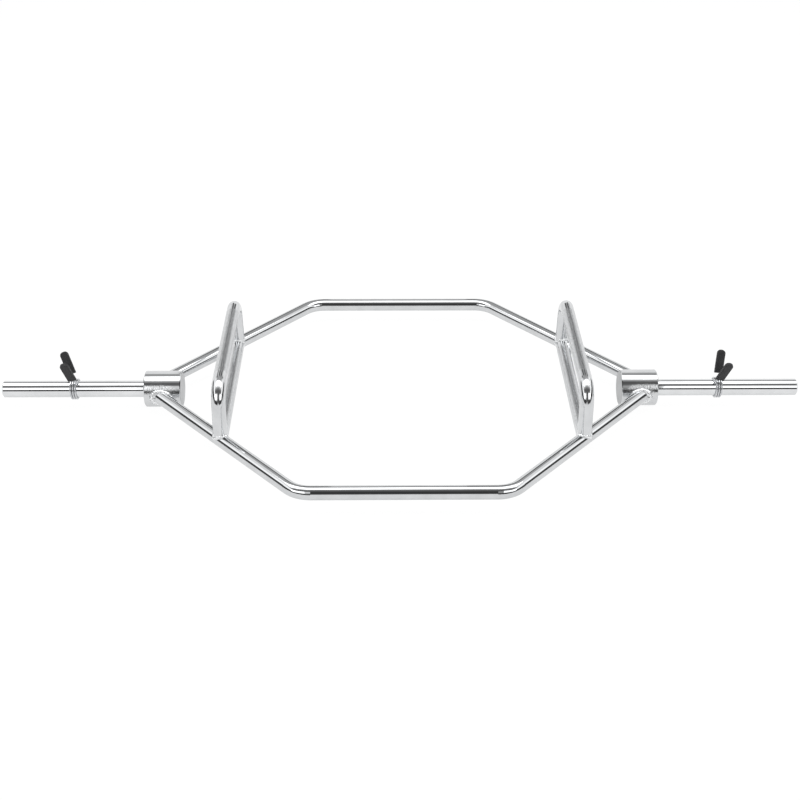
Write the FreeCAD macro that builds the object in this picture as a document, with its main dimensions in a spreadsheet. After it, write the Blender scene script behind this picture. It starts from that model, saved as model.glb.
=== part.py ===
import FreeCAD, Part
import math
import os
import Sketcher

# Hex trap bar: two bent frame tubes meet at two hubs that carry the plate sleeves, each side has a
# flat and a raised handle, and a spring collar with two grips sits on each sleeve.
# +X runs along the bar to the right, -Y is the front, +Z is up, and the origin is on the floor
# under the middle of the bar. Lengths are in millimetres and angles in degrees.

SIZES = {
    # Sleeves and hubs
    "overall_length": 1430,
    "sleeve_diameter": 30,
    "spigot_diameter": 26,
    "spigot_length": 45,
    "spigot_fit": 0.05,
    "sleeve_end_chamfer": 2,
    "hub_diameter": 65,
    "hub_length": 65.5,
    "hub_overhang": 3.5,
    "hub_chamfer": 1.5,
    # Frame tubes, measured between centre lines and their crossings
    "tube_diameter": 24,
    "tube_wall": 3,
    "frame_depth": 642,
    "frame_corner_spread": 345,
    "frame_apex_spread": 912,
    "frame_bend_radius": 50,
    # Handles, placed from the hub's inner face and from their feet on the arms
    "handle_gap": 85,
    "raised_height": 92.5,
    "raised_corner_inset": 7.4444,
    "raised_bend_radius": 32,
    # Welds
    "weld_gap": 0.1,
    "hub_weld_leg": 3.2,
    "hub_weld_bevel": 1.8,
    "sleeve_weld_leg": 2.5,
    "arm_weld_leg": 2.6,
    "flat_weld_leg": 2.1,
    "raised_weld_leg": 1.6,
    # Spring collars
    "left_collar_gap": 127.2,
    "right_collar_gap": 111.5,
    "wire_diameter": 3.4,
    "coil_turns": 3,
    "coil_pitch": 4,
    "coil_clearance": 0.6,
    "front_arm_angle": 17,
    "rear_arm_angle": 21,
    "arm_bend_radius": 4,
    "left_front_lean": 13,
    "left_rear_lean": 20,
    "right_front_lean": 16.4,
    "right_rear_lean": 6.1,
    # Collar grips
    "left_front_bare": 8,
    "left_rear_bare": 4.8,
    "right_front_bare": 5.6,
    "right_rear_bare": 3.9,
    "grip_length": 42.5,
    "grip_width": 15,
    "grip_thickness": 7,
    "grip_corner_radius": 6.6,
    "grip_edge_radius": 1.8,
    "grip_bore_depth": 35,
    "grip_bore_offset": 4,
    "grip_bore_fit": 0.1,
    # Cuts run this far past what they cut
    "cut_overrun": 5,
}

UP = FreeCAD.Vector(0, 0, 1)
ORIGIN = FreeCAD.Vector(0, 0, 0)
SIDES = {"left": -1, "right": 1}
ENDS = {"front": -1, "rear": 1}
FULL_TURN = 360
HALF_TURN = 180
ALIGNED = math.cos(math.radians(1))
BEAD_CROWN_SHARES = ((0.5, 0.75), (0.75, 0.5))

doc = FreeCAD.newDocument("hex_trap_bar")
sheet = doc.addObject("Spreadsheet::Sheet", "sizes")
for row, (alias, number) in enumerate(SIZES.items(), start=1):
    sheet.set(f"A{row}", alias)
    sheet.set(f"B{row}", str(number))
    sheet.setAlias(f"B{row}", alias)
doc.recompute()
nodes = []


def size(alias):
    return float(sheet.get(alias))


def value(expression):
    found = sheet.evalExpression(expression)
    return float(getattr(found, "Value", found))


# Sizes and places that several pieces share, as expressions of the sheet
TUBE_RADIUS = "sizes.tube_diameter / 2"
BORE_RADIUS = "(sizes.tube_diameter / 2 - sizes.tube_wall)"
HUB_RADIUS = "sizes.hub_diameter / 2"
SLEEVE_RADIUS = "sizes.sleeve_diameter / 2"
SPIGOT_RADIUS = "sizes.spigot_diameter / 2"
APEX = "sizes.frame_apex_spread / 2"
HUB_FACE = f"({APEX} + sizes.hub_overhang)"
SLEEVE_EXPOSED = f"(sizes.overall_length / 2 - {HUB_FACE})"
CORNER = "sizes.frame_corner_spread / 2"
HALF_DEPTH = "sizes.frame_depth / 2"
ARM_LENGTH = f"sqrt(({APEX} - {CORNER}) ^ 2 + ({HALF_DEPTH}) ^ 2)"
HANDLE_PLACE = f"({HUB_FACE} - sizes.hub_length - sizes.handle_gap)"
HANDLE_REACH = f"{HALF_DEPTH} * ({APEX} - {HANDLE_PLACE}) / ({APEX} - {CORNER})"
RAISED_CORNER = f"({HANDLE_REACH} - sizes.raised_corner_inset)"
WIRE_RADIUS = "sizes.wire_diameter / 2"
COIL_RADIUS = f"({SLEEVE_RADIUS} + sizes.coil_clearance + {WIRE_RADIUS})"


def keep(piece, label):
    """Name a finished piece and list it for writing."""
    piece.Label = label
    nodes.append(piece)
    return piece


def bind(thing, expressions):
    for target, expression in expressions.items():
        thing.setExpression(target, expression)


def plane(body, role):
    return next(feature for feature in body.Origin.OriginFeatures if feature.Role == role)


def new_body(name, base=ORIGIN, turn=FreeCAD.Rotation()):
    body = doc.addObject("PartDesign::Body", name)
    body.Placement = FreeCAD.Placement(base, turn)
    return body


def new_sketch(body, name, role):
    sketch = body.newObject("Sketcher::SketchObject", name)
    sketch.AttachmentSupport = [(plane(body, role), "")]
    sketch.MapMode = "FlatFace"
    return sketch


def pin_point(sketch, geometry, point, across, along):
    """Hold a point of a sketch at two expressions, measured from the sketch's origin."""
    for kind, axis, expression in (("DistanceX", -2, across), ("DistanceY", -1, along)):
        if expression == "0":
            sketch.addConstraint(Sketcher.Constraint("PointOnObject", geometry, point, axis))
            continue
        held = Sketcher.Constraint(kind, -1, 1, geometry, point, value(expression))
        number = sketch.addConstraint(held)
        sketch.setExpression(f"Constraints[{number}]", expression)


def outline(sketch, corners):
    """Closed outline through corners, each a pair of expressions."""
    places = [FreeCAD.Vector(value(across), value(along), 0) for across, along in corners]
    for start, end in zip(places, places[1:] + places[:1]):
        sketch.addGeometry(Part.LineSegment(start, end))
    for line, (across, along) in enumerate(corners):
        sketch.addConstraint(Sketcher.Constraint("Coincident", line, 1, (line - 1) % len(corners), 2))
        pin_point(sketch, line, 1, across, along)


def circle(sketch, radius, across="0", along="0"):
    """Circle of a bound radius about a point of a sketch."""
    centre = FreeCAD.Vector(value(across), value(along), 0)
    number = sketch.addGeometry(Part.Circle(centre, UP, value(radius)))
    pin_point(sketch, number, 3, across, along)
    held = sketch.addConstraint(Sketcher.Constraint("Radius", number, value(radius)))
    sketch.setExpression(f"Constraints[{held}]", radius)


def bent_path(sketch, offset, corner, foot, bend_radius):
    """Half of a bent tube's centre line: a level run, one bend and a run down to the axis.

    The level run starts over the origin at the offset, the two runs would cross at the corner,
    and the second one ends on the sketch's horizontal axis at the foot.
    """
    start = FreeCAD.Vector(0, value(offset), 0)
    turn_point = FreeCAD.Vector(value(corner), value(offset), 0)
    end = FreeCAD.Vector(value(foot), 0, 0)
    radius = value(bend_radius)
    level = (turn_point - start).normalize()
    down = (end - turn_point).normalize()
    half_turn = level.getAngle(down) / 2
    setback = radius * math.tan(half_turn)
    first = turn_point - level * setback
    last = turn_point + down * setback
    inward = (down - level).normalize()
    middle = turn_point + inward * (radius / math.cos(half_turn) - radius)
    sketch.addGeometry(Part.LineSegment(start, first))
    sketch.addGeometry(Part.Arc(first, middle, last))
    sketch.addGeometry(Part.LineSegment(last, end))
    sketch.addGeometry(Part.Point(turn_point), True)
    starts_first = (sketch.getPoint(1, 1) - first).Length < (sketch.getPoint(1, 2) - first).Length
    arc_start, arc_end = (1, 2) if starts_first else (2, 1)
    sketch.addConstraint(Sketcher.Constraint("Tangent", 0, 2, 1, arc_start))
    sketch.addConstraint(Sketcher.Constraint("Tangent", 1, arc_end, 2, 1))
    pin_point(sketch, 0, 1, "0", offset)
    pin_point(sketch, 2, 2, foot, "0")
    pin_point(sketch, 3, 1, corner, offset)
    sketch.addConstraint(Sketcher.Constraint("PointOnObject", 3, 1, 0))
    sketch.addConstraint(Sketcher.Constraint("PointOnObject", 3, 1, 2))
    held = sketch.addConstraint(Sketcher.Constraint("Radius", 1, radius))
    sketch.setExpression(f"Constraints[{held}]", bend_radius)


def bent_tube(name, base, turn, path_role, section_role, path, section_centre):
    """Hollow tube swept along half a bent path and mirrored about its section plane."""
    body = new_body(name, base, turn)
    spine = new_sketch(body, name + "_path", path_role)
    bent_path(spine, *path)
    section = new_sketch(body, name + "_section", section_role)
    circle(section, TUBE_RADIUS, *section_centre)
    circle(section, BORE_RADIUS, *section_centre)
    pipe = body.newObject("PartDesign::AdditivePipe", name + "_half")
    pipe.Profile = section
    pipe.Spine = spine
    mirrored = body.newObject("PartDesign::Mirrored", name + "_mirrored")
    mirrored.Originals = [pipe]
    mirrored.MirrorPlane = (plane(body, section_role), [""])
    body.Tip = mirrored
    return body


def revolved(name, base, turn, corners):
    """Solid of revolution about the local X axis."""
    body = new_body(name, base, turn)
    sketch = new_sketch(body, name + "_section", "XZ_Plane")
    outline(sketch, corners)
    solid = body.newObject("PartDesign::Revolution", name + "_turned")
    solid.Profile = sketch
    solid.ReferenceAxis = (sketch, ["H_Axis"])
    solid.Angle = FULL_TURN
    return body


def rod(name, radius, length, base, direction, inner=None):
    """Plain cylinder used to shape other pieces. With an inner direction only that half is made."""
    tool = doc.addObject("Part::Cylinder", name)
    bind(tool, {"Radius": radius, "Height": length})
    turn = FreeCAD.Rotation(UP, direction)
    if inner is not None:
        tool.Angle = HALF_TURN
        turn = FreeCAD.Rotation(inner.cross(direction), inner, direction, "ZYX")
    tool.Placement = FreeCAD.Placement(base, turn)
    return tool


def joined(kind, name, first, second):
    result = doc.addObject(kind, name)
    result.Base = first
    result.Tool = second
    return result


def cut_by(name, base, tools):
    for number, tool in enumerate(tools):
        base = joined("Part::Cut", f"{name}_cut_{number}", base, tool)
    return base


def facing(side):
    """Rotation that turns a piece drawn for the right side to its own side."""
    return FreeCAD.Rotation(UP, 0 if side > 0 else HALF_TURN)


def on_axis(along):
    """Point of the sleeves' axis, which lies one hub radius above the floor."""
    return FreeCAD.Vector(along, 0, value(HUB_RADIUS))


def arm_direction(side, end):
    """Direction of a frame arm from the sleeve axis out to the frame's corner."""
    run = value(CORNER) - value(APEX)
    return FreeCAD.Vector(side * run, end * value(HALF_DEPTH), 0).normalize()


def arm_rod(name, side, end, radius, inner=None):
    return rod(name, radius, ARM_LENGTH, on_axis(side * value(APEX)), arm_direction(side, end), inner)


def axis_rod(name, radius):
    """Cylinder along the sleeves' axis, as long as the whole bar."""
    length = "sizes.overall_length"
    return rod(name, radius, length, on_axis(-value(length) / 2), FreeCAD.Vector(1, 0, 0))


def handle_foot(side, end):
    """Point where a handle's centre line meets the arm's."""
    return on_axis(side * value(HANDLE_PLACE)) + FreeCAD.Vector(0, end * value(HANDLE_REACH), 0)


def leg_direction(end):
    """Direction of a raised handle's leg, upwards from its foot."""
    return FreeCAD.Vector(0, -end * size("raised_corner_inset"), size("raised_height")).normalize()


def make_frame_tube(end_name, end):
    """Frame tube: one straight run between two bends, and an arm to each hub, coped to fit it."""
    name = end_name + "_frame_tube"
    tube = bent_tube(name + "_bent", on_axis(0), facing(end), "XY_Plane", "YZ_Plane",
                     (HALF_DEPTH, CORNER, APEX, "sizes.frame_bend_radius"), (HALF_DEPTH, "0"))
    hubs = axis_rod(name + "_hubs", HUB_RADIUS + " + sizes.weld_gap")
    return keep(joined("Part::Cut", name, tube, hubs), name)


def make_hub(side_name, side):
    """Hub: a turned steel drum with a blind socket for the sleeve in its outer face."""
    socket = SPIGOT_RADIUS + " + sizes.spigot_fit"
    chamfer = "sizes.hub_chamfer"
    corners = [
        ("-sizes.hub_length", "0"),
        ("-sizes.hub_length", f"{HUB_RADIUS} - {chamfer}"),
        (f"-sizes.hub_length + {chamfer}", HUB_RADIUS),
        (f"-{chamfer}", HUB_RADIUS),
        ("0", f"{HUB_RADIUS} - {chamfer}"),
        ("0", socket),
        ("-sizes.spigot_length", socket),
        ("-sizes.spigot_length", "0"),
    ]
    name = side_name + "_hub"
    return keep(revolved(name, on_axis(side * value(HUB_FACE)), facing(side), corners), name)


def make_sleeve(side_name, side):
    """Sleeve: a solid bar whose spigot sits in the hub, bevelled at the weld and at its outer end."""
    chamfer = "sizes.sleeve_end_chamfer"
    corners = [
        ("-sizes.spigot_length", "0"),
        ("-sizes.spigot_length", SPIGOT_RADIUS),
        ("0", SPIGOT_RADIUS),
        ("sizes.sleeve_weld_leg", SLEEVE_RADIUS),
        (f"{SLEEVE_EXPOSED} - {chamfer}", SLEEVE_RADIUS),
        (SLEEVE_EXPOSED, f"{SLEEVE_RADIUS} - {chamfer}"),
        (SLEEVE_EXPOSED, "0"),
    ]
    name = side_name + "_sleeve"
    return keep(revolved(name, on_axis(side * value(HUB_FACE)), facing(side), corners), name)


def make_sleeve_weld(side_name, side):
    """Weld that fills the bevel between the sleeve and the hub's face."""
    leg = "sizes.sleeve_weld_leg"
    crown = [(f"{leg} * {out}", f"{SLEEVE_RADIUS} + {leg} * {up}") for out, up in BEAD_CROWN_SHARES]
    corners = [("0", SPIGOT_RADIUS), ("0", f"{SLEEVE_RADIUS} + {leg}"), *crown, (leg, SLEEVE_RADIUS)]
    name = side_name + "_sleeve_weld"
    return keep(revolved(name, on_axis(side * value(HUB_FACE)), facing(side), corners), name)


def make_hub_weld(side_name, side, end_name, end):
    """Weld collar round a frame arm where it stands on the hub, bevelled along its crest."""
    name = f"{side_name}_{end_name}_hub_weld"
    leg = " + sizes.hub_weld_leg"
    arm_skin = arm_rod(name + "_arm_skin", side, end, TUBE_RADIUS + leg)
    hub_skin = axis_rod(name + "_hub_skin", HUB_RADIUS + leg)
    hub_core = axis_rod(name + "_hub_core", HUB_RADIUS)
    arm_core = arm_rod(name + "_arm_core", side, end, TUBE_RADIUS)
    blank = joined("Part::Common", name + "_blank", arm_skin, hub_skin)
    bead = cut_by(name, blank, [hub_core, arm_core])
    doc.recompute()
    skins = {round(value(TUBE_RADIUS + leg), 3), round(value(HUB_RADIUS + leg), 3)}
    bevelled = doc.addObject("Part::Chamfer", name)
    bevelled.Base = bead
    bevel = size("hub_weld_bevel")
    bevelled.Edges = [(number, bevel, bevel) for number, edge in enumerate(bead.Shape.Edges, start=1)
                      if face_radii(bead.Shape, edge) == skins]
    return keep(bevelled, name)


def face_radii(shape, edge):
    """Radii of the round faces that meet at an edge."""
    faces = shape.ancestorsOfType(edge, Part.Face)
    return {round(face.Surface.Radius, 3) for face in faces if hasattr(face.Surface, "Radius")}


def make_flat_handle(side_name, side):
    """Flat handle: a straight tube across the frame, coped to the arm at each end."""
    name = side_name + "_flat_handle"
    body = new_body(name + "_straight", on_axis(side * value(HANDLE_PLACE)))
    section = new_sketch(body, name + "_section", "XZ_Plane")
    circle(section, TUBE_RADIUS)
    circle(section, BORE_RADIUS)
    pad = body.newObject("PartDesign::Pad", name + "_pad")
    pad.Profile = section
    pad.SideType = "Symmetric"
    bind(pad, {"Length": f"2 * {HANDLE_REACH}"})
    arms = [arm_rod(f"{name}_{end_name}_arm", side, end, TUBE_RADIUS + " + sizes.weld_gap")
            for end_name, end in ENDS.items()]
    return keep(cut_by(name, body, arms), name)


def make_raised_handle(side_name, side):
    """Raised handle: a bent tube above the flat handle, its legs coped to the arms and to it."""
    name = side_name + "_raised_handle"
    path = ("sizes.raised_height", RAISED_CORNER, HANDLE_REACH,
            "sizes.raised_bend_radius")
    tube = bent_tube(name + "_bent", on_axis(side * value(HANDLE_PLACE)), FreeCAD.Rotation(), "YZ_Plane",
                     "XZ_Plane", path, ("0", "sizes.raised_height"))
    tools = [arm_rod(f"{name}_{end_name}_arm", side, end, TUBE_RADIUS + " + sizes.weld_gap")
             for end_name, end in ENDS.items()]
    tools.append(rod(name + "_flat", TUBE_RADIUS + " + 2 * sizes.weld_gap", f"2 * {HANDLE_REACH}",
                     handle_foot(side, ENDS["front"]), FreeCAD.Vector(0, 1, 0)))
    return keep(cut_by(name, tube, tools), name)


def make_handle_weld(side_name, side, end_name, end):
    """Weld at a corner of the handles: round the flat handle's end and the raised handle's foot."""
    name = f"{side_name}_{end_name}_handle_weld"
    foot = handle_foot(side, end)
    inward = FreeCAD.Vector(0, -end, 0)
    upward = leg_direction(end)
    beside_arm = UP.cross(arm_direction(side, end))
    inner = beside_arm * math.copysign(1, beside_arm.dot(inward))
    reach = HANDLE_REACH
    height = "(sizes.tube_diameter + sizes.arm_weld_leg + sizes.cut_overrun)"
    arm_radius = TUBE_RADIUS + " + sizes.arm_weld_leg"
    flat_radius = TUBE_RADIUS + " + sizes.flat_weld_leg"
    leg_radius = TUBE_RADIUS + " + sizes.raised_weld_leg"
    arm_half = arm_rod(name + "_arm_half", side, end, arm_radius, inner)
    flat_skin = rod(name + "_flat_skin", flat_radius, reach, foot - inward * (value(reach) / 2), inward)
    flat_bead = joined("Part::Common", name + "_flat_bead", flat_skin, arm_half)
    arm_skin = arm_rod(name + "_arm_skin", side, end, arm_radius)
    leg_skin = rod(name + "_leg_skin", leg_radius, height, foot, upward)
    leg_bead = joined("Part::Common", name + "_leg_bead", leg_skin, arm_skin)
    flat_top = rod(name + "_flat_top", flat_radius, reach, foot, inward)
    leg_inner = rod(name + "_leg_inner", leg_radius, height, foot, upward)
    inner_bead = joined("Part::Common", name + "_inner_bead", leg_inner, flat_top)
    beads = doc.addObject("Part::MultiFuse", name + "_beads")
    beads.Shapes = [flat_bead, leg_bead, inner_bead]
    arm_core = arm_rod(name + "_arm_core", side, end, TUBE_RADIUS)
    flat_core = rod(name + "_flat_core", TUBE_RADIUS + " + sizes.weld_gap", reach, foot, inward)
    leg_core = rod(name + "_leg_core", TUBE_RADIUS + " + 2 * sizes.weld_gap", f"2 * {height}", foot, upward)
    return keep(cut_by(name, beads, [arm_core, flat_core, leg_core]), name)


def coil_point(side_name, side, angle):
    """Point of the coil's centre line. Angles run from the top towards the front, the turns inwards."""
    turned = math.radians(angle)
    middle = coil_wind() / 2 - size("rear_arm_angle")
    outward = size(side_name + "_collar_gap") - size("coil_pitch") * (angle - middle) / FULL_TURN
    radius = value(COIL_RADIUS)
    centre = on_axis(side * (value(HUB_FACE) + outward))
    return centre + FreeCAD.Vector(0, -radius * math.sin(turned), radius * math.cos(turned))


def coil_tangent(side, angle):
    turned = math.radians(angle)
    rise = -side * size("coil_pitch") / (2 * math.pi)
    radius = value(COIL_RADIUS)
    return FreeCAD.Vector(rise, -radius * math.cos(turned), -radius * math.sin(turned)).normalize()


def coil_wind():
    """Angle that the wire winds through, from the rear arm to the front arm."""
    return size("coil_turns") * FULL_TURN + size("rear_arm_angle") + size("front_arm_angle")


def collar_arm(side_name, side, end_name):
    """Bend and direction of a collar's wire arm, from the end of its coil."""
    front = end_name == "front"
    angle = coil_wind() - size("rear_arm_angle") if front else -size("rear_arm_angle")
    start = coil_point(side_name, side, angle)
    away = coil_tangent(side, angle) * (1 if front else -1)
    turned = math.radians(angle)
    lean = math.radians(size(f"{side_name}_{end_name}_lean"))
    radial = FreeCAD.Vector(0, -math.sin(turned), math.cos(turned))
    up = radial * math.cos(lean) + FreeCAD.Vector(side, 0, 0) * math.sin(lean)
    half_turn = away.getAngle(up) / 2
    setback = size("arm_bend_radius") * math.tan(half_turn)
    inward = (up - away).normalize()
    corner = start + away * setback
    middle = corner + inward * size("arm_bend_radius") * (1 / math.cos(half_turn) - 1)
    return {"start": start, "middle": middle, "end": corner + up * setback, "up": up}


def arc_from(start, tangent, end):
    """Arc that leaves its start along the tangent."""
    chord = end - start
    along = FreeCAD.Vector(chord).normalize()
    aside = tangent - along * tangent.dot(along)
    bulge = math.tan(tangent.getAngle(chord) / 2) * chord.Length / 2
    return Part.Arc(start, start + chord / 2 + aside.normalize() * bulge, end)


def biarc(start, start_tangent, end, end_tangent):
    """Two arcs that meet smoothly and leave both ends along their tangents."""
    chord = end - start
    both = start_tangent + end_tangent
    spread = 2 * (1 - start_tangent.dot(end_tangent))
    mixed = chord.dot(both)
    reach = (math.sqrt(mixed * mixed + spread * chord.dot(chord)) - mixed) / spread
    middle = (start + end + (start_tangent - end_tangent) * reach) / 2
    first = arc_from(start, start_tangent, middle)
    last = arc_from(end, end_tangent * -1, middle)
    return [first.toShape(), Part.Arc(middle, last.value(
        (last.FirstParameter + last.LastParameter) / 2), end).toShape()]


def arm_run(side_name, end_name):
    """Length of an arm's straight run: the bare part and the part inside its grip."""
    return size(f"{side_name}_{end_name}_bare") + size("grip_bore_depth") - size("wire_diameter")


def spring_gap(wire):
    """Least gap of a wire to itself, between points more than half a turn apart."""
    step = value(WIRE_RADIUS)
    points = wire.discretize(Distance=step)
    apart = int(math.pi * value(COIL_RADIUS) / step)
    least = min((points[first] - points[second]).Length
                for first in range(len(points))
                for second in range(first + apart, len(points)))
    return least - size("wire_diameter")


def make_collar_spring(side_name, side):
    """Collar spring: one wire with its turns round the sleeve and an arm at each end."""
    rear = collar_arm(side_name, side, "rear")
    front = collar_arm(side_name, side, "front")
    rear_tip = rear["end"] + rear["up"] * arm_run(side_name, "rear")
    front_tip = front["end"] + front["up"] * arm_run(side_name, "front")
    edges = [Part.LineSegment(rear_tip, rear["end"]).toShape(),
             Part.Arc(rear["end"], rear["middle"], rear["start"]).toShape()]
    steps = math.ceil(coil_wind() / HALF_TURN)
    angles = [coil_wind() * step / steps - size("rear_arm_angle") for step in range(steps + 1)]
    for first, second in zip(angles, angles[1:]):
        edges += biarc(coil_point(side_name, side, first), coil_tangent(side, first),
                       coil_point(side_name, side, second), coil_tangent(side, second))
    edges += [Part.Arc(front["start"], front["middle"], front["end"]).toShape(),
              Part.LineSegment(front["end"], front_tip).toShape()]
    path = Part.Wire(edges)
    section = Part.Wire(Part.Circle(rear_tip, rear["up"], value(WIRE_RADIUS)).toShape())
    name = side_name + "_collar_spring"
    spring = doc.addObject("Part::Feature", name)
    spring.Shape = path.makePipeShell([section], True)
    spring.Placement = FreeCAD.Placement()
    print(f"{name}: least gap to itself {spring_gap(path):.2f} mm")
    return keep(spring, name)


def edges_along(shape, direction, low):
    """Names of the straight edges that run along a direction and lie above a height."""
    found = []
    for number, edge in enumerate(shape.Edges, start=1):
        run = edge.lastVertex().Point - edge.firstVertex().Point
        straight = run.Length > 0 and abs(run.normalize().dot(direction)) > ALIGNED
        if straight and edge.CenterOfMass.z > low:
            found.append(f"Edge{number}")
    return found


def make_collar_grip(side_name, side, end_name):
    """Collar grip: a rounded paddle over a wire arm, its bore off its middle to sit over the coil."""
    name = f"{side_name}_{end_name}_collar_grip"
    arm = collar_arm(side_name, side, end_name)
    thickness = arm["up"].cross(FreeCAD.Vector(side, 0, 0)).normalize()
    aside = thickness.cross(arm["up"])
    bore_place = "sizes.grip_bore_offset" if end_name == "rear" else "-sizes.grip_bore_offset"
    seat = arm["end"] + arm["up"] * size(f"{side_name}_{end_name}_bare") - aside * value(bore_place)
    body = new_body(name, seat, FreeCAD.Rotation(aside, thickness, arm["up"], "ZYX"))
    sketch = new_sketch(body, name + "_outline", "XZ_Plane")
    half = "sizes.grip_width / 2"
    outline(sketch, [(f"-{half}", "0"), (half, "0"), (half, "sizes.grip_length"),
                     (f"-{half}", "sizes.grip_length")])
    pad = body.newObject("PartDesign::Pad", name + "_pad")
    pad.Profile = sketch
    pad.SideType = "Symmetric"
    bind(pad, {"Length": "sizes.grip_thickness"})
    doc.recompute()
    rounded = body.newObject("PartDesign::Fillet", name + "_top")
    rounded.Base = (pad, edges_along(pad.Shape, FreeCAD.Vector(0, 1, 0), size("grip_length") / 2))
    bind(rounded, {"Radius": "sizes.grip_corner_radius"})
    doc.recompute()
    faces = [f"Face{number}" for number, face in enumerate(rounded.Shape.Faces, start=1)
             if abs(face.normalAt(0, 0).y) > ALIGNED]
    softened = body.newObject("PartDesign::Fillet", name + "_edges")
    softened.Base = (rounded, faces)
    bind(softened, {"Radius": "sizes.grip_edge_radius"})
    bore = new_sketch(body, name + "_bore_section", "XY_Plane")
    circle(bore, WIRE_RADIUS + " + sizes.grip_bore_fit", bore_place)
    doc.recompute()
    full = softened.Shape.Volume
    pocket = body.newObject("PartDesign::Pocket", name + "_bore")
    pocket.Profile = bore
    pocket.Reversed = True
    bind(pocket, {"Length": "sizes.grip_bore_depth"})
    doc.recompute()
    if pocket.Shape.Volume >= full:
        raise RuntimeError(name + ": the bore cuts nothing")
    return keep(body, name)


for end_name, end in ENDS.items():
    make_frame_tube(end_name, end)
for side_name, side in SIDES.items():
    make_hub(side_name, side)
    make_sleeve(side_name, side)
    make_sleeve_weld(side_name, side)
    make_flat_handle(side_name, side)
    make_raised_handle(side_name, side)
    for end_name, end in ENDS.items():
        make_hub_weld(side_name, side, end_name, end)
        make_handle_weld(side_name, side, end_name, end)
    make_collar_spring(side_name, side)
    for end_name in ENDS:
        make_collar_grip(side_name, side, end_name)
doc.recompute()

for thing in doc.Objects:
    if "Invalid" in thing.State or "Error" in thing.State:
        raise RuntimeError(f"{thing.Label} failed: {thing.State}")
for node in nodes:
    if node.Shape.isNull() or not node.Shape.isValid():
        raise RuntimeError(f"{node.Label} has no valid shape")
os.makedirs("parts", exist_ok=True)
for node in nodes:
    node.Shape.exportStep(f"parts/{node.Label}.step")
    print(f"{node.Label}: {len(node.Shape.Solids)} solid, {node.Shape.Volume:.0f} cubic mm")
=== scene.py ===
import math
import random

import bmesh
import bpy
from mathutils import Matrix, Vector


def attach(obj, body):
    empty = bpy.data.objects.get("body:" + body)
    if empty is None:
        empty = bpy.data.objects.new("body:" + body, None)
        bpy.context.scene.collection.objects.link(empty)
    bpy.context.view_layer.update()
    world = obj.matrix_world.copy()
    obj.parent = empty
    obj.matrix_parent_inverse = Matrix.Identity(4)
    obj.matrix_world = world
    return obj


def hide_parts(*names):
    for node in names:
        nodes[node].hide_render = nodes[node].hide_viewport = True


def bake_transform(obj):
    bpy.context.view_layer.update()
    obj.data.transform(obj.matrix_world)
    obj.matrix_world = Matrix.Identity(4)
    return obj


# Hex trap bar: the chromed frame and the collars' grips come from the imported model. This script adds
# the knurling, the weld beads, the collars' wires, the materials, a white studio and the camera.
# Lengths are in metres.

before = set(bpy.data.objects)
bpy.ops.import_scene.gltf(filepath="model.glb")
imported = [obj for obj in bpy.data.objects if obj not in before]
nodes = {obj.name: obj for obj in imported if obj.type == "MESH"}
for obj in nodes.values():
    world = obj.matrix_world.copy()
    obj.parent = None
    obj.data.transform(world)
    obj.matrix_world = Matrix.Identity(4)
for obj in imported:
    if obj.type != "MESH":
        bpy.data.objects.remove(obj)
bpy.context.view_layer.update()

SIDES = {"left": -1, "right": 1}
ENDS = {"front": -1, "rear": 1}
UP = Vector((0, 0, 1))
ALONG = Vector((1, 0, 0))
ROUND = 2 * math.pi
FULL_TURN = 360
QUARTER_TURN = 90

# Sizes and places of the part
TUBE_RADIUS = 0.012
HUB_RADIUS = 0.0325
SLEEVE_RADIUS = 0.015
AXIS_HEIGHT = HUB_RADIUS
APEX = 0.456
CORNER = 0.1725
HALF_DEPTH = 0.321
HUB_FACE = 0.4595
HUB_LENGTH = 0.0655
HUB_INNER_FACE = HUB_FACE - HUB_LENGTH
HANDLE_PLACE = 0.309
HANDLE_REACH = HALF_DEPTH * (APEX - HANDLE_PLACE) / (APEX - CORNER)
RAISED_HEIGHT = 0.0925
RAISED_CORNER = 0.159

# Knurling, as rows of small pyramids. The inset hides the edges of its ends inside the tube
KNURL_DEPTH = 0.00006
KNURL_ROUND = 64
KNURL_STEP = ROUND * TUBE_RADIUS / KNURL_ROUND
KNURL_INSET = 0.0006
FLAT_KNURL = (-0.134, 0.134)
RAISED_KNURL = (-0.111, 0.111)

# Weld beads. The shares are parts of a bead's own radius
BEAD_STEPS = 132
BEAD_SIDES = 10
RIPPLE_PITCH = 0.0032
RIPPLE_SHARE = 0.12
UNEVEN_SHARE = 0.16
BEAD_SINK_SHARE = 0.35
OUTER_SWELL_SHARE = 0.7
HUB_BEAD = 0.0045
HANDLE_BEAD = 0.0025
SLEEVE_BEAD = 0.0019
SEEDS_PER_SIDE = 10

# Spring collars. Angles are in degrees, from the top towards the front
WIRE_RADIUS = 0.0017
COIL_CLEARANCE = 0.0006
COIL_RADIUS = SLEEVE_RADIUS + COIL_CLEARANCE + WIRE_RADIUS
COIL_PITCH = 0.004
COIL_TURNS = 3
FRONT_ANGLE = 17
REAR_ANGLE = 21
LAST_ANGLE = COIL_TURNS * FULL_TURN + FRONT_ANGLE
MIDDLE_ANGLE = (LAST_ANGLE - REAR_ANGLE) / 2
ARM_BEND = 0.004
ARM_DEPTH = 0.03
WIRE_SIDES = 14
COIL_STEP = 6
BEND_STEPS = 8
COLLAR_GAP = {"left": 0.1272, "right": 0.1115}
ARM_LEAN = {("left", "front"): 13, ("left", "rear"): 20,
            ("right", "front"): 16.4, ("right", "rear"): 6.1}
ARM_BARE = {("left", "front"): 0.008, ("left", "rear"): 0.0048,
            ("right", "front"): 0.0056, ("right", "rear"): 0.0039}

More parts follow.
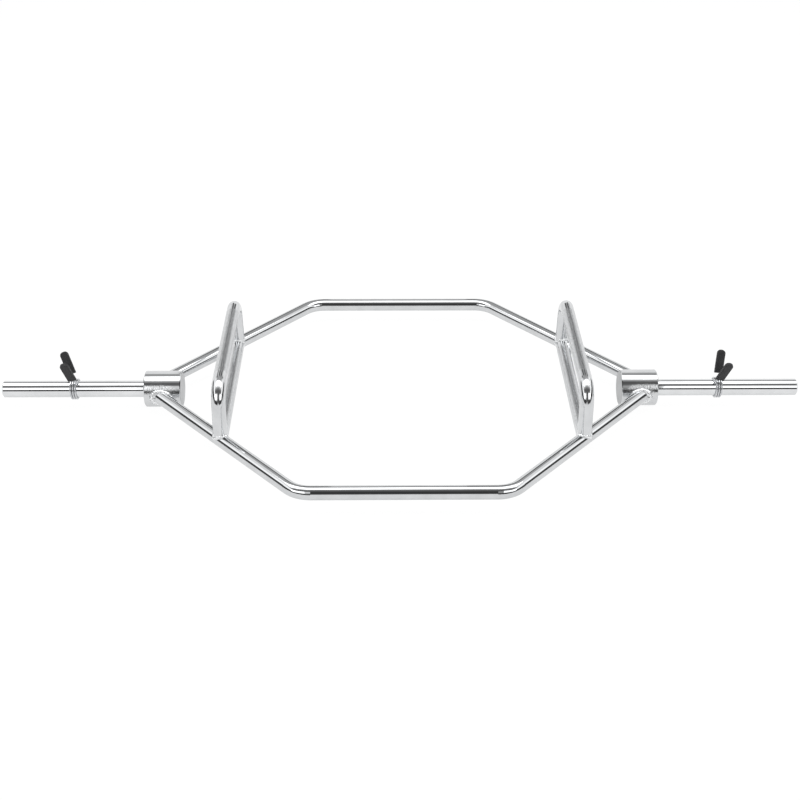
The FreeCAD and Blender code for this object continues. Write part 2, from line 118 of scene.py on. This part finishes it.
# Chrome finishes: darkest and lightest tone, least and most roughness, and waviness
BRIGHT = ((0.62, 0.63, 0.64), (0.69, 0.70, 0.71), 0.03, 0.07, 0.02)
TURNED = ((0.72, 0.73, 0.74), (0.79, 0.80, 0.81), 0.03, 0.08, 0.02)
SATIN = ((0.63, 0.64, 0.65), (0.72, 0.73, 0.74), 0.08, 0.17, 0.04)
BEADED = ((0.82, 0.83, 0.84), (0.93, 0.94, 0.95), 0.2, 0.4, 0.3)
CLOUD_SCALE = 35
CLOUD_RANGE = (0.3, 0.7)
RUB_SCALE = 260
RUB_STRETCH = (0.15, 1, 1)
RUB_RANGE = (0.35, 0.75)
RUB_STRENGTH = 0.04
WAVE_SCALE = 22
WAVE_HEIGHT = 0.002
FINE_HEIGHT = 0.0002

# Knurled chrome
SPECKLE_SCALE = 330
SPECKLE_ROUGHNESS = 0.65
SPECKLE_RANGE = (0.34, 0.66)
SPECKLE_TONES = ((0.52, 0.53, 0.54), (0.72, 0.73, 0.74))
KNURL_DULL = (0.2, 0.12)
CUT_SCALE = 900
CUT_STRENGTH = 0.06

# Hub chrome: the drum, its turned inner face darkened with painted shade (a painted reflection of the
# contact shadow beside it), and the mottled skin near the welds
# Inner face tones: a darker base colour that is painted shade, a painted reflection of the contact
# shadow beside the hub
DRUM_TONES = ((0.63, 0.64, 0.65), (0.70, 0.71, 0.72))
SHADED_FACE_TONES = ((0.20, 0.21, 0.22), (0.32, 0.33, 0.34))
FACE_EDGE = 0.0008
MOTTLE_REACH = 0.03
MOTTLE_STRENGTH = 0.55
SPATTER_SCALE = 420
SPATTER_HEIGHT = 0.0006
DRUM_DULL = (0.04, 0.2)
LATHE_SCALE = 180
LATHE_DISTORTION = 0.4
LATHE_STRENGTH = 0.03
LATHE_HEIGHT = 0.0004

# Spring wire and black plastic
DRAWN_SCALE = 420
DRAWN_STRETCH = (1, 0.3, 1)
DRAWN_STRENGTH = 0.1
WIRE_TONES = ((0.50, 0.51, 0.53), (0.70, 0.71, 0.72))
WIRE_DULL_RANGE = (0.3, 0.8)
WIRE_DULL = (0.16, 0.34)
PLASTIC_SCALE = 60
PLASTIC_TONES = ((0.026, 0.026, 0.028), (0.042, 0.042, 0.044))
PLASTIC_DULL_RANGE = (0.3, 0.75)
PLASTIC_DULL = (0.48, 0.66)
PLASTIC_SHINE = 0.35
GRAIN_SCALE = 1900
GRAIN_STRENGTH = 0.25
GRAIN_HEIGHT = 0.0003

# Camera, found from the photograph's perspective
VIEW_DISTANCE = 2.415
VIEW_ELEVATION = math.radians(31.46)
VIEW_AZIMUTH = math.radians(-0.97)
VIEW_ROLL = math.radians(0.34)
FOCAL_PIXELS = 1337
CENTRE_PIXEL = (401.4, 388.0)
IMAGE_PIXELS = 800
SENSOR = 36


# Node helpers

def new_material(name):
    material = bpy.data.materials.new(name)
    material.use_nodes = True
    tree = material.node_tree
    shader = tree.nodes["Principled BSDF"]
    return material, tree, shader


def add(tree, kind, inputs=None, **settings):
    node = tree.nodes.new(kind)
    for key, value in settings.items():
        setattr(node, key, value)
    for key, value in (inputs or {}).items():
        if hasattr(value, "is_output"):
            tree.links.new(value, node.inputs[key])
        else:
            node.inputs[key].default_value = value
    return node


def vector_math(tree, operation, *vectors):
    return add(tree, "ShaderNodeVectorMath", dict(enumerate(vectors)), operation=operation).outputs[0]


def noise(tree, scale, detail, stretch=(1, 1, 1), roughness=0.55):
    """Noise in the object's own coordinates, stretched along its axes."""
    place = add(tree, "ShaderNodeTexCoord").outputs["Object"]
    mapped = add(tree, "ShaderNodeMapping", {"Vector": place, "Scale": stretch})
    made = add(tree, "ShaderNodeTexNoise", {"Vector": mapped.outputs["Vector"], "Scale": scale,
                                            "Detail": detail, "Roughness": roughness})
    return made.outputs["Fac"]


def ramp(tree, source, places, tones):
    """Ramp between two greys or colours, over a range of its source."""
    node = add(tree, "ShaderNodeValToRGB", {"Fac": source})
    for element, place, tone in zip(node.color_ramp.elements, places, tones):
        colour = tone if isinstance(tone, tuple) else (tone, tone, tone)
        element.position = place
        element.color = (*colour, 1)
    return node.outputs["Color"]


def bump(tree, height, strength, distance, under=None):
    """Bump, on top of another one if that is given."""
    inputs = {"Height": height, "Strength": strength, "Distance": distance}
    if under is not None:
        inputs["Normal"] = under
    return add(tree, "ShaderNodeBump", inputs).outputs["Normal"]


# Materials

def chrome(name, dark, light, polished, dull, wave):
    """Chrome plating with faint clouding, fine rub marks and a slight waviness."""
    material, tree, shader = new_material(name)
    colour = ramp(tree, noise(tree, CLOUD_SCALE, detail=4), CLOUD_RANGE, (dark, light))
    rubs = noise(tree, RUB_SCALE, detail=5, stretch=RUB_STRETCH)
    tree.links.new(colour, shader.inputs["Base Color"])
    tree.links.new(ramp(tree, rubs, RUB_RANGE, (polished, dull)), shader.inputs["Roughness"])
    shader.inputs["Metallic"].default_value = 1
    soft = bump(tree, noise(tree, WAVE_SCALE, detail=1), wave, WAVE_HEIGHT)
    tree.links.new(bump(tree, rubs, RUB_STRENGTH, FINE_HEIGHT, soft), shader.inputs["Normal"])
    return material


def cut_chrome():
    """Knurled chrome: thin plating over cut steel, speckled and duller than the smooth tube."""
    material, tree, shader = new_material("knurl_chrome")
    speckle = noise(tree, SPECKLE_SCALE, detail=4, roughness=SPECKLE_ROUGHNESS)
    tree.links.new(ramp(tree, speckle, SPECKLE_RANGE, SPECKLE_TONES), shader.inputs["Base Color"])
    tree.links.new(ramp(tree, speckle, CLOUD_RANGE, KNURL_DULL), shader.inputs["Roughness"])
    shader.inputs["Metallic"].default_value = 1
    cuts = noise(tree, CUT_SCALE, detail=2)
    tree.links.new(bump(tree, cuts, CUT_STRENGTH, FINE_HEIGHT), shader.inputs["Normal"])
    return material


def hub_chrome():
    """Chrome over a turned drum, with lathe rings, and mottled where the frame's arms are welded on.
    The inner face's darker base colour is painted shade, standing in for the reflected contact shadow.

    The object's coordinates, folded by their absolute values, serve both hubs and all four arms.
    """
    material, tree, shader = new_material("hub_chrome")
    place = add(tree, "ShaderNodeTexCoord").outputs["Object"]
    centred = vector_math(tree, "SUBTRACT", place, (0, 0, AXIS_HEIGHT))
    folded = vector_math(tree, "ABSOLUTE", centred)
    offset = vector_math(tree, "SUBTRACT", folded, (APEX, 0, 0))
    arm_heading = Vector((CORNER - APEX, HALF_DEPTH, 0)).normalized()
    aside = vector_math(tree, "CROSS_PRODUCT", offset, arm_heading)
    distance = add(tree, "ShaderNodeVectorMath", {0: aside}, operation="LENGTH")
    near = add(tree, "ShaderNodeMapRange", {"Value": distance.outputs["Value"],
                                            "From Min": MOTTLE_REACH,
                                            "From Max": TUBE_RADIUS + HUB_BEAD}).outputs["Result"]
    clouds = noise(tree, CLOUD_SCALE, detail=4)
    plated = ramp(tree, clouds, CLOUD_RANGE, DRUM_TONES)
    # Painted shade: the hub's inner face takes the darker tones
    shaded_face = ramp(tree, clouds, CLOUD_RANGE, SHADED_FACE_TONES)
    inward = add(tree, "ShaderNodeSeparateXYZ", {0: folded}).outputs["X"]
    on_shaded_face = add(tree, "ShaderNodeMapRange", {"Value": inward,
                                               "From Min": HUB_INNER_FACE + FACE_EDGE,
                                               "From Max": HUB_INNER_FACE}).outputs["Result"]
    tone = add(tree, "ShaderNodeMixRGB", {"Fac": on_shaded_face, "Color1": plated, "Color2": shaded_face})
    tree.links.new(tone.outputs["Color"], shader.inputs["Base Color"])
    shader.inputs["Metallic"].default_value = 1
    polished, blurred = DRUM_DULL
    dull = add(tree, "ShaderNodeMapRange", {"Value": near, "To Min": polished, "To Max": blurred})
    tree.links.new(dull.outputs["Result"], shader.inputs["Roughness"])
    rings = add(tree, "ShaderNodeTexWave", {"Vector": centred, "Scale": LATHE_SCALE,
                                            "Distortion": LATHE_DISTORTION},
                wave_type="RINGS", rings_direction="X")
    lathed = bump(tree, rings.outputs["Fac"], LATHE_STRENGTH, LATHE_HEIGHT)
    spatter = noise(tree, SPATTER_SCALE, detail=3)
    strength = add(tree, "ShaderNodeMath", {0: near, 1: MOTTLE_STRENGTH}, operation="MULTIPLY")
    mottled = bump(tree, spatter, strength.outputs[0], SPATTER_HEIGHT, lathed)
    tree.links.new(mottled, shader.inputs["Normal"])
    return material


def wire_steel():
    """Zinc plated wire, with the faint marks of drawing."""
    material, tree, shader = new_material("zinc_spring_wire")
    drawn = noise(tree, DRAWN_SCALE, detail=4, stretch=DRAWN_STRETCH)
    tree.links.new(ramp(tree, drawn, CLOUD_RANGE, WIRE_TONES), shader.inputs["Base Color"])
    tree.links.new(ramp(tree, drawn, WIRE_DULL_RANGE, WIRE_DULL), shader.inputs["Roughness"])
    shader.inputs["Metallic"].default_value = 1
    tree.links.new(bump(tree, drawn, DRAWN_STRENGTH, FINE_HEIGHT), shader.inputs["Normal"])
    return material


def black_plastic():
    """Moulded black plastic, matt and finely grained."""
    material, tree, shader = new_material("black_matt_plastic")
    cloud = noise(tree, PLASTIC_SCALE, detail=4)
    grain = noise(tree, GRAIN_SCALE, detail=2)
    tree.links.new(ramp(tree, cloud, CLOUD_RANGE, PLASTIC_TONES), shader.inputs["Base Color"])
    tree.links.new(ramp(tree, cloud, PLASTIC_DULL_RANGE, PLASTIC_DULL), shader.inputs["Roughness"])
    shader.inputs["Specular IOR Level"].default_value = PLASTIC_SHINE
    tree.links.new(bump(tree, grain, GRAIN_STRENGTH, GRAIN_HEIGHT), shader.inputs["Normal"])
    return material


bright_chrome = chrome("bright_chrome", *BRIGHT)
turned_chrome = chrome("turned_chrome", *TURNED)
satin_chrome = chrome("satin_chrome", *SATIN)
bead_chrome = chrome("bead_chrome", *BEADED)
knurl_chrome = cut_chrome()
drum_chrome = hub_chrome()
spring_wire = wire_steel()
grip_plastic = black_plastic()


def dress(node, material):
    slots = nodes[node].data.materials
    slots.clear()
    slots.append(material)


for end in ENDS:
    dress(end + "_frame_tube", bright_chrome)
for side in SIDES:
    dress(side + "_hub", drum_chrome)
    dress(side + "_sleeve", turned_chrome)
    dress(side + "_flat_handle", satin_chrome)
    dress(side + "_raised_handle", satin_chrome)
    for end in ENDS:
        dress(f"{side}_{end}_collar_grip", grip_plastic)


# Mesh helpers

def new_piece(name, mesh_data, material):
    mesh = bpy.data.meshes.new(name)
    mesh_data.to_mesh(mesh)
    mesh_data.free()
    mesh.materials.append(material)
    piece = bpy.data.objects.new(name, mesh)
    bpy.context.scene.collection.objects.link(piece)
    return piece


def smooth(piece):
    for face in piece.data.polygons:
        face.use_smooth = True
    return piece


def crossways(direction):
    """Two unit vectors square to a direction and to each other."""
    first = direction.orthogonal().normalized()
    return first, direction.cross(first).normalized()


def carried_frames(points, closed):
    """A pair of cross directions at each point, carried along the path without twist."""
    count = len(points)
    tangents = []
    for number in range(count):
        before = points[number - 1] if number or closed else points[0]
        after = points[(number + 1) % count] if number < count - 1 or closed else points[-1]
        tangents.append((after - before).normalized())
    first = tangents[0].orthogonal().normalized()
    pairs = []
    for tangent in tangents:
        first = (first - tangent * first.dot(tangent)).normalized()
        pairs.append((first, tangent.cross(first)))
    return pairs


def sweep(built, points, radii, sides, closed):
    """Round tube along a path, with a radius at each point, capped unless it is closed."""
    turns = [ROUND * side / sides for side in range(sides)]
    rings = []
    for point, radius, (first, second) in zip(points, radii, carried_frames(points, closed)):
        ways = [first * math.cos(turn) + second * math.sin(turn) for turn in turns]
        rings.append([built.verts.new(point + way * radius) for way in ways])
    pairs = list(zip(rings, rings[1:]))
    if closed:
        ring = rings[0]
        last = rings[-1]
        shift = min(range(sides), key=lambda turn: (last[0].co - ring[turn].co).length)
        pairs.append((last, ring[shift:] + ring[:shift]))
    for one, two in pairs:
        for side in range(sides):
            after = (side + 1) % sides
            built.faces.new((one[side], one[after], two[after], two[side]))
    if not closed:
        built.faces.new(reversed(rings[0]))
        built.faces.new(rings[-1])


# Knurling

def knurl(name, centre, span):
    """Sleeve of diamond knurling along the Y axis: pyramids in a check, parted by slanting grooves."""
    low, high = span
    rows = 2 * round((high - low) / KNURL_STEP / 2) + 1
    built = bmesh.new()
    rings = []
    for row in range(rows):
        along = low + (high - low) * row / (rows - 1)
        edge = row in (0, rows - 1)
        ring = []
        for column in range(KNURL_ROUND):
            peak = (row + column) % 2 == 0 and not edge
            radius = TUBE_RADIUS + (KNURL_DEPTH if peak else -KNURL_INSET * edge)
            turn = ROUND * column / KNURL_ROUND
            ring.append(built.verts.new(centre + Vector((math.cos(turn) * radius, along,
                                                         math.sin(turn) * radius))))
        rings.append(ring)
    for row, (one, two) in enumerate(zip(rings, rings[1:])):
        for column in range(KNURL_ROUND):
            after = (column + 1) % KNURL_ROUND
            corners = (one[column], one[after], two[after], two[column])
            start = 1 if (row + column) % 2 == 0 else 0
            a, b, c, d = corners[start:] + corners[:start]
            built.faces.new((c, b, a))
            built.faces.new((d, c, a))
    for column in range(KNURL_ROUND):
        after = (column + 1) % KNURL_ROUND
        built.faces.new((rings[0][column], rings[0][after], rings[-1][after], rings[-1][column]))
    bmesh.ops.recalc_face_normals(built, faces=built.faces)
    piece = new_piece(name, built, knurl_chrome)
    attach(piece, "frame")


for side, sign in SIDES.items():
    flat_centre = Vector((sign * HANDLE_PLACE, 0, AXIS_HEIGHT))
    knurl(side + "_flat_knurl", flat_centre, FLAT_KNURL)
    knurl(side + "_raised_knurl", flat_centre + UP * RAISED_HEIGHT, RAISED_KNURL)


# Welds

def round_bar(point, direction, radius):
    """A point of the axis, the axis's unit direction and the radius of a round bar."""
    return {"point": point, "direction": direction.normalized(), "radius": radius}


def reach_of(start, direction, bar):
    """Furthest place along a line at which it meets a round bar, or None."""
    across = direction - bar["direction"] * direction.dot(bar["direction"])
    offset = start - bar["point"]
    offset = offset - bar["direction"] * offset.dot(bar["direction"])
    square = across.dot(across)
    half = across.dot(offset)
    rest = half * half - square * (offset.dot(offset) - bar["radius"] ** 2)
    if rest < 0 or square == 0:
        return None
    return (math.sqrt(rest) - half) / square


def seam(bar, others):
    """Points and outward directions where a bar's skin meets the first of the other bars."""
    first, second = crossways(bar["direction"])
    found = []
    for step in range(BEAD_STEPS):
        turn = ROUND * step / BEAD_STEPS
        outward = first * math.cos(turn) + second * math.sin(turn)
        start = bar["point"] + outward * bar["radius"]
        reaches = [(reach_of(start, bar["direction"], other), other) for other in others]
        reaches = [pair for pair in reaches if pair[0] is not None]
        if not reaches:
            continue
        reach, other = max(reaches, key=lambda pair: pair[0])
        point = start + bar["direction"] * reach
        offset = point - other["point"]
        away = (offset - other["direction"] * offset.dot(other["direction"])).normalized()
        found.append((point, (outward + away).normalized()))
    return found


def add_bead(built, found, size, draw, swollen):
    """Weld bead along a closed seam, with the ripples of its passes, larger towards a given side."""
    length = sum((one[0] - two[0]).length for one, two in zip(found, found[1:] + found[:1]))
    ripples = round(length / RIPPLE_PITCH)
    swell = [draw.uniform(-UNEVEN_SHARE, UNEVEN_SHARE) for _ in range(ripples)]
    points, radii = [], []
    for number, (point, outward) in enumerate(found):
        place = number / len(found) * ripples
        share = place % 1
        here = swell[int(place) % ripples] * (1 - share) + swell[(int(place) + 1) % ripples] * share
        ripple = RIPPLE_SHARE * (1 - 2 * share * share)
        swelling = OUTER_SWELL_SHARE * max(0, outward.dot(swollen))
        radii.append(size * (1 + here + ripple) * (1 + swelling))
        points.append(point - outward * (size * BEAD_SINK_SHARE))
    sweep(built, points, radii, BEAD_SIDES, True)


def weld(name, seams, size, seed, swollen=Vector()):
    """All the beads of one weld, in place of its plain solid, swollen towards a direction if given."""
    draw = random.Random(seed)
    built = bmesh.new()
    for found in seams:
        add_bead(built, found, size, draw, swollen)
    bmesh.ops.recalc_face_normals(built, faces=built.faces)
    piece = smooth(new_piece(name + "_bead", built, bead_chrome))
    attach(piece, "frame")
    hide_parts(name)


hub_bar = round_bar(Vector((0, 0, AXIS_HEIGHT)), ALONG, HUB_RADIUS)
for side_number, (side, sign) in enumerate(SIDES.items()):
    apex = Vector((sign * APEX, 0, AXIS_HEIGHT))
    ring = []
    for step in range(BEAD_STEPS):
        turn = ROUND * step / BEAD_STEPS
        outward = Vector((0, math.cos(turn), math.sin(turn)))
        ring.append((Vector((sign * HUB_FACE, 0, AXIS_HEIGHT)) + outward * SLEEVE_RADIUS,
                     (outward + ALONG * sign).normalized()))
    weld(side + "_sleeve_weld", [ring], SLEEVE_BEAD, side_number)
    for end_number, (end, way) in enumerate(ENDS.items()):
        seed = SEEDS_PER_SIDE * (side_number + 1) + end_number
        arm = round_bar(apex, Vector((sign * (CORNER - APEX), way * HALF_DEPTH, 0)), TUBE_RADIUS)
        weld(f"{side}_{end}_hub_weld", [seam(arm, [hub_bar])], HUB_BEAD, seed, ALONG * sign)
        foot = Vector((sign * HANDLE_PLACE, way * HANDLE_REACH, AXIS_HEIGHT))
        flat = round_bar(foot, Vector((0, -way, 0)), TUBE_RADIUS)
        lean = way * (RAISED_CORNER - HANDLE_REACH)
        leg = round_bar(foot, Vector((0, lean, RAISED_HEIGHT)), TUBE_RADIUS)
        handle_seams = [seam(flat, [arm]), seam(leg, [arm, flat])]
        weld(f"{side}_{end}_handle_weld", handle_seams, HANDLE_BEAD, seed)


# Spring collars

def coil_place(side, angle):
    """Point of a coil's centre line."""
    turned = math.radians(angle)
    outward = HUB_FACE + COLLAR_GAP[side] - COIL_PITCH * (angle - MIDDLE_ANGLE) / FULL_TURN
    return Vector((SIDES[side] * outward, -COIL_RADIUS * math.sin(turned),
                   AXIS_HEIGHT + COIL_RADIUS * math.cos(turned)))


def coil_heading(side, angle):
    """Unit direction of a coil's centre line, as its angle grows."""
    turned = math.radians(angle)
    rise = -SIDES[side] * COIL_PITCH / ROUND
    return Vector((rise, -COIL_RADIUS * math.cos(turned), -COIL_RADIUS * math.sin(turned))).normalized()


def wire(name, points):
    built = bmesh.new()
    sweep(built, points, [WIRE_RADIUS] * len(points), WIRE_SIDES, False)
    return smooth(new_piece(name, built, spring_wire))


def arm_points(side, end, angle):
    """Bend and straight run of a wire arm, from the end of its coil into its grip."""
    turned = math.radians(angle)
    lean = math.radians(ARM_LEAN[side, end])
    radial = Vector((0, -math.sin(turned), math.cos(turned)))
    up = radial * math.cos(lean) + ALONG * (SIDES[side] * math.sin(lean))
    away = coil_heading(side, angle) * -ENDS[end]
    start = coil_place(side, angle)
    whole = away.angle(up)
    inward = (up - away * up.dot(away)).normalized()
    points = []
    for step in range(BEND_STEPS + 1):
        turn = whole * step / BEND_STEPS
        onward = away * math.sin(turn) + inward * (1 - math.cos(turn))
        points.append(start + onward * ARM_BEND)
    return points + [points[-1] + up * (ARM_BARE[side, end] + ARM_DEPTH)]


half_steps = round((LAST_ANGLE - MIDDLE_ANGLE) / COIL_STEP)
for side in SIDES:
    for end, final_angle in (("front", LAST_ANGLE), ("rear", -REAR_ANGLE)):
        grip_body = f"{side}_{end}_collar_grip"
        angles = [MIDDLE_ANGLE + (final_angle - MIDDLE_ANGLE) * step / half_steps
                  for step in range(half_steps + 1)]
        turns = wire(f"{side}_{end}_collar_turns", [coil_place(side, angle) for angle in angles])
        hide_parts(side + "_collar_spring")
        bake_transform(turns)
        arm_wire = wire(f"{side}_{end}_collar_arm", arm_points(side, end, final_angle))
        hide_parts(side + "_collar_spring")
        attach(arm_wire, grip_body)


# Studio: a white floor and world, soft lamps, and grey and white cards that chrome reflects as bands.
# The floor glows, and shows a share of its shading to the camera and another to mirror images

WORLD_FILL = 0.4
FLOOR_SIZE = 60
FLOOR_DROP = 0.0005
FLOOR_TONE = (0.9, 0.9, 0.9, 1)
FLOOR_ROUGHNESS = 0.9
FLOOR_GLOW = 1.08
SHADE_SHARE = 0.13
MIRRORED_SHADE_SHARE = 0.35
WHITE = (1, 1, 1, 1)

# Lamps: place, aim, width, depth and power in watts
LAMPS = {
    "overhead": ((0, 0.45, 2.6), (0, 0, 0), 4.0, 1.3, 33),
    "left_box": ((-2.5, -2.47, 1.7), (-2.5, 0, 0), 3.0, 1.54, 20),
    "right_box": ((2.6, -2.47, 1.7), (2.6, 0, 0), 3.0, 1.54, 20),
}

# Cards: reaches along X, and greys at elevations in degrees, from the front horizon over the top
CARD_RADIUS = 4.5
CARD_REACH = 7
CARD_STEPS = 3
CENTRE_REACH = 0.62
INNER_REACH = 1.45
CENTRE_GREYS = [(7, 0.5), (11, 0.12), (24, 0.05), (42, 0.05), (52, 0.11), (68, 0.16), (75, 0.35),
                (80, 0.5)]
INNER_GREYS = {
    "left": [(0.5, 0.06), (8, 0.06), (15, 0.14), (23, 0.45), (32, 0.85), (45, 0.85), (50, 0.3),
             (56, 0.14), (66, 0.14), (73, 0.35), (80, 0.6)],
    "right": [(0.5, 0.04), (8, 0.06), (15, 0.12), (23, 0.26), (32, 0.42), (40, 0.42), (46, 0.2),
              (56, 0.12), (66, 0.13), (73, 0.35), (80, 0.6)],
}
OUTER_GREYS = [(0.5, 0.03), (16, 0.03), (24, 0.2), (30, 0.4), (48, 0.4), (52, 0.2), (56, 0.13),
               (66, 0.14), (73, 0.35), (80, 0.6)]
REAR_REACH = 2.2
REAR_GREYS = [(113, 0.7), (118, 0.46), (140, 0.46)]
REAR_MIDDLE_GREYS = [(140, 0.46), (152.5, 0.36)]
REAR_SIDE_REACH = {"left": (-1.07, -0.3), "right": (0.4, 1.18)}
REAR_SIDE_GREYS = [(140, 0.14), (145, 0.1), (160, 0.1)]
REAR_OUTER_REACH = (1.4, 2.5)
REAR_OUTER_GREYS = [(140, 0.22), (155, 0.22)]
END_SPAN = (-4, 4)
END_GREYS = [(3.5, 0.09), (24, 0.06), (25.5, 1.4), (40, 1.4)]


def either(tree, one, two):
    return add(tree, "ShaderNodeMath", {0: one, 1: two}, operation="MAXIMUM").outputs[0]


def seen_directly(tree):
    """One for camera, glossy and transmission rays, and zero for the light that falls on things."""
    path = add(tree, "ShaderNodeLightPath")
    shiny = either(tree, path.outputs["Is Camera Ray"], path.outputs["Is Glossy Ray"])
    return either(tree, shiny, path.outputs["Is Transmission Ray"])


def white_world():
    """White to look at or to reflect, and dimmer as light."""
    world = bpy.data.worlds.new("studio")
    bpy.context.scene.world = world
    world.use_nodes = True
    tree = world.node_tree
    back = tree.nodes["Background"]
    level = add(tree, "ShaderNodeMapRange", {"Value": seen_directly(tree), "To Min": WORLD_FILL})
    back.inputs["Color"].default_value = WHITE
    tree.links.new(level.outputs["Result"], back.inputs["Strength"])


def white_floor():
    built = bmesh.new()
    bmesh.ops.create_grid(built, x_segments=1, y_segments=1, size=FLOOR_SIZE / 2)
    mesh = bpy.data.meshes.new("floor")
    built.to_mesh(mesh)
    built.free()
    floor = bpy.data.objects.new("floor", mesh)
    floor.location.z = -FLOOR_DROP
    bpy.context.scene.collection.objects.link(floor)
    material, tree, shader = new_material("white_floor")
    shader.inputs["Base Color"].default_value = FLOOR_TONE
    shader.inputs["Roughness"].default_value = FLOOR_ROUGHNESS
    shader.inputs["Specular IOR Level"].default_value = 0
    glow = add(tree, "ShaderNodeEmission", {"Color": WHITE, "Strength": FLOOR_GLOW})
    path = add(tree, "ShaderNodeLightPath")
    mirrored = either(tree, path.outputs["Is Glossy Ray"], path.outputs["Is Transmission Ray"])
    reflected = add(tree, "ShaderNodeMath", {0: mirrored, 1: 1 - MIRRORED_SHADE_SHARE},
                    operation="MULTIPLY")
    share = add(tree, "ShaderNodeMath", {0: path.outputs["Is Camera Ray"], 1: 1 - SHADE_SHARE,
                                         2: reflected.outputs[0]}, operation="MULTIPLY_ADD")
    mix = add(tree, "ShaderNodeMixShader",
              {0: share.outputs[0], 1: shader.outputs[0], 2: glow.outputs[0]})
    tree.links.new(mix.outputs[0], tree.nodes["Material Output"].inputs["Surface"])
    mesh.materials.append(material)


def card(name, span, stops, turned=0):
    """Card along X, far off, in greys up to white, that only reflections show.

    The span is its reach along X. Each stop is an elevation, from the front horizon over the top,
    and the grey there. The card can be turned about the upright axis.
    """
    built = bmesh.new()
    tint = built.verts.layers.float_color.new("grey")
    rows = []
    for (low, low_grey), (high, high_grey) in zip(stops, stops[1:]):
        for step in range(CARD_STEPS):
            share = step / CARD_STEPS
            rows.append((low + (high - low) * share, low_grey + (high_grey - low_grey) * share))
    rows.append(stops[-1])
    edges = []
    for elevation, grey in rows:
        turn = math.radians(elevation)
        forward, above = CARD_RADIUS * math.cos(turn), CARD_RADIUS * math.sin(turn)
        edge = [built.verts.new((along, -forward, above)) for along in span]
        for vert in edge:
            vert[tint] = (grey, grey, grey, 1)
        edges.append(edge)
    for one, two in zip(edges, edges[1:]):
        built.faces.new((one[0], one[1], two[1], two[0]))
    mesh = bpy.data.meshes.new(name)
    built.to_mesh(mesh)
    built.free()
    made = bpy.data.objects.new(name, mesh)
    made.rotation_euler.z = math.radians(turned)
    bpy.context.scene.collection.objects.link(made)
    material, tree, shader = new_material(name)
    tree.nodes.remove(shader)
    shade = add(tree, "ShaderNodeAttribute", attribute_name="grey")
    glow = add(tree, "ShaderNodeEmission", {"Color": shade.outputs["Color"], "Strength": 1.0})
    tree.links.new(glow.outputs[0], tree.nodes["Material Output"].inputs["Surface"])
    mesh.materials.append(material)
    made.visible_camera = False
    made.visible_diffuse = False
    made.visible_shadow = False
    made.visible_transmission = False


def lamp(name, place, target, width, depth, power):
    data = bpy.data.lights.new(name, "AREA")
    data.shape = "RECTANGLE"
    data.size = width
    data.size_y = depth
    data.energy = power
    made = bpy.data.objects.new(name, data)
    made.location = place
    made.rotation_mode = "QUATERNION"
    made.rotation_quaternion = (Vector(target) - Vector(place)).to_track_quat("-Z", "Y")
    bpy.context.scene.collection.objects.link(made)


white_world()
white_floor()
card("centre_card", (-CENTRE_REACH, CENTRE_REACH), CENTRE_GREYS)
card("rear_card", (-REAR_REACH, REAR_REACH), REAR_GREYS)
rear_middle_span = (REAR_SIDE_REACH["left"][1], REAR_SIDE_REACH["right"][0])
card("rear_middle_card", rear_middle_span, REAR_MIDDLE_GREYS)
for side, sign in SIDES.items():
    card(f"{side}_inner_card", (sign * CENTRE_REACH, sign * INNER_REACH), INNER_GREYS[side])
    card(f"{side}_outer_card", (sign * INNER_REACH, sign * CARD_REACH), OUTER_GREYS)
    card(f"rear_{side}_card", REAR_SIDE_REACH[side], REAR_SIDE_GREYS)
    card(f"rear_{side}_outer_card", [sign * reach for reach in REAR_OUTER_REACH], REAR_OUTER_GREYS)
    card(f"{side}_end_card", END_SPAN, END_GREYS, sign * QUARTER_TURN)
for name, settings in LAMPS.items():
    lamp(name, *settings)


# Camera

def photo_camera():
    data = bpy.data.cameras.new("camera")
    camera = bpy.data.objects.new("camera", data)
    bpy.context.scene.collection.objects.link(camera)
    level = math.cos(VIEW_ELEVATION)
    back = Vector((math.sin(VIEW_AZIMUTH) * level, -math.cos(VIEW_AZIMUTH) * level,
                   math.sin(VIEW_ELEVATION)))
    right = Vector((math.cos(VIEW_AZIMUTH), math.sin(VIEW_AZIMUTH), 0))
    above = right.cross(-back).normalized()
    rolled_right = right * math.cos(VIEW_ROLL) + above * math.sin(VIEW_ROLL)
    rolled_above = above * math.cos(VIEW_ROLL) - right * math.sin(VIEW_ROLL)
    turn = Matrix((rolled_right, rolled_above, back)).transposed().to_4x4()
    camera.matrix_world = Matrix.Translation(back * VIEW_DISTANCE + UP * AXIS_HEIGHT) @ turn
    data.sensor_width = SENSOR
    data.lens = FOCAL_PIXELS / IMAGE_PIXELS * SENSOR
    data.shift_x = (IMAGE_PIXELS / 2 - CENTRE_PIXEL[0]) / IMAGE_PIXELS
    data.shift_y = (CENTRE_PIXEL[1] - IMAGE_PIXELS / 2) / IMAGE_PIXELS
    bpy.context.scene.camera = camera


photo_camera()
bpy.context.scene.view_settings.view_transform = "Standard"
